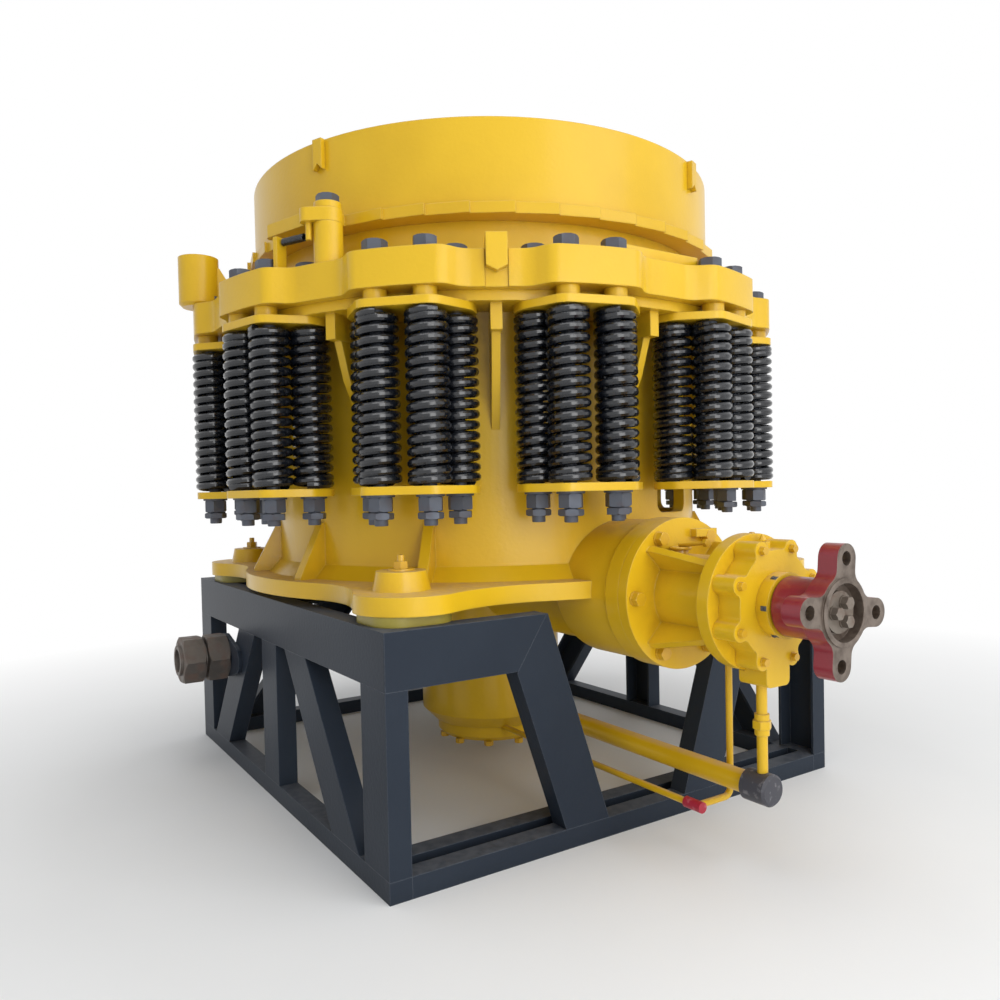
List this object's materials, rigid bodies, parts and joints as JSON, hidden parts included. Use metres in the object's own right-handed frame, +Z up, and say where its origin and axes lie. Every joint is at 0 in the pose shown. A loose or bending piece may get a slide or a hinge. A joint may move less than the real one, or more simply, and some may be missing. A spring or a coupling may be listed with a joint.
{
  "type": "spring cone crusher on a steel stand",
  "caption": "Cone crusher with coil spring sets round its frame, a ratchet-toothed feed cap, a lobed ring and a side drive coupling, on a channel steel stand.",
  "frame": {"origin": "on the floor, under the middle of the whole length and on the drive shaft's line", "axes": "+X along the drive shaft towards its coupling, +Z up; the crusher's own axis is vertical, 203 mm behind the origin"},
  "size_m": [2.0584, 1.6775, 1.653],
  "materials": {
    "yellow_paint": "glossy machine enamel on cast and welded steel",
    "stand_paint": "satin dark grey enamel on rolled channel",
    "black_spring": "glossy black paint on spring steel",
    "red_paint": "dark red enamel",
    "machined_steel": "turned steel",
    "wear_steel": "cast manganese steel",
    "dark_plastic": "matt",
    "red_plastic": "gloss",
    "grey_steel": "forged steel, lightly oiled"
  },
  "bodies": {
    "bowl_assembly": {"bowl": "yellow_paint", "bowl_liner": "wear_steel", "cap_drum": "yellow_paint", "cap_hooks": "yellow_paint", "feed_hopper": "yellow_paint"},
    "drive_line": {"drive_shaft": "machined_steel", "coupling": "red_paint", "shaft_end_plate": "machined_steel"},
    "pawl_lever": {"pawl": "yellow_paint"},
    "frame": {"stand_top_side_rails": "stand_paint", "stand_top_end_rails": "stand_paint", "stand_front_legs": "stand_paint", "stand_corner_posts": "stand_paint", "stand_left_braces": "stand_paint", "stand_right_braces": "stand_paint", "stand_rear_braces": "stand_paint", "stand_bottom_side_rails": "stand_paint", "stand_bottom_cross_rails": "stand_paint", "side_stub_plate": "stand_paint", "corner_shims": "machined_steel", "seal_retainer": "machined_steel", "main_frame": "yellow_paint", "centre_hub": "yellow_paint", "hub_bottom_cover": "yellow_paint", "lower_spring_plates": "yellow_paint", "upper_spring_plates": "yellow_paint", "adjustment_ring": "yellow_paint", "ring_key": "yellow_paint", "pawl_post": "yellow_paint", "spring_anchor": "yellow_paint", "ram_post": "yellow_paint", "drive_housing": "yellow_paint", "bearing_cover": "yellow_paint", "drain_pipe": "yellow_paint", "sump_drop_pipe": "yellow_paint", "vent_pipe": "yellow_paint", "thin_pipe": "yellow_paint", "springs_1": "black_spring", "springs_2": "black_spring", "springs_3": "black_spring", "pawl_spring": "black_spring", "mantle": "wear_steel", "crushing_head": "wear_steel", "feed_plate": "wear_steel", "drain_fitting": "dark_plastic", "pipe_tee": "red_plastic", "side_stub": "grey_steel"}
  },
  "joints": [
    {"name": "drive_spin", "type": "hinge", "parent": "frame", "child": "drive_line", "pos_m": [0.9, 0, 0.568], "axis": [1, 0, 0], "continuous": true},
    {"name": "bowl_turn", "type": "hinge", "parent": "frame", "child": "bowl_assembly", "pos_m": [-0.203, 0, 1.4], "axis": [0, 0, 1], "continuous": true},
    {"name": "pawl_swing", "type": "hinge", "parent": "frame", "child": "pawl_lever", "pos_m": [0.1825, -0.6492, 1.42], "axis": [0, 0, 1], "range_deg": [0, 8], "stiffness_Nm_per_rad": 15, "springref_deg": -20.05}
  ]
}
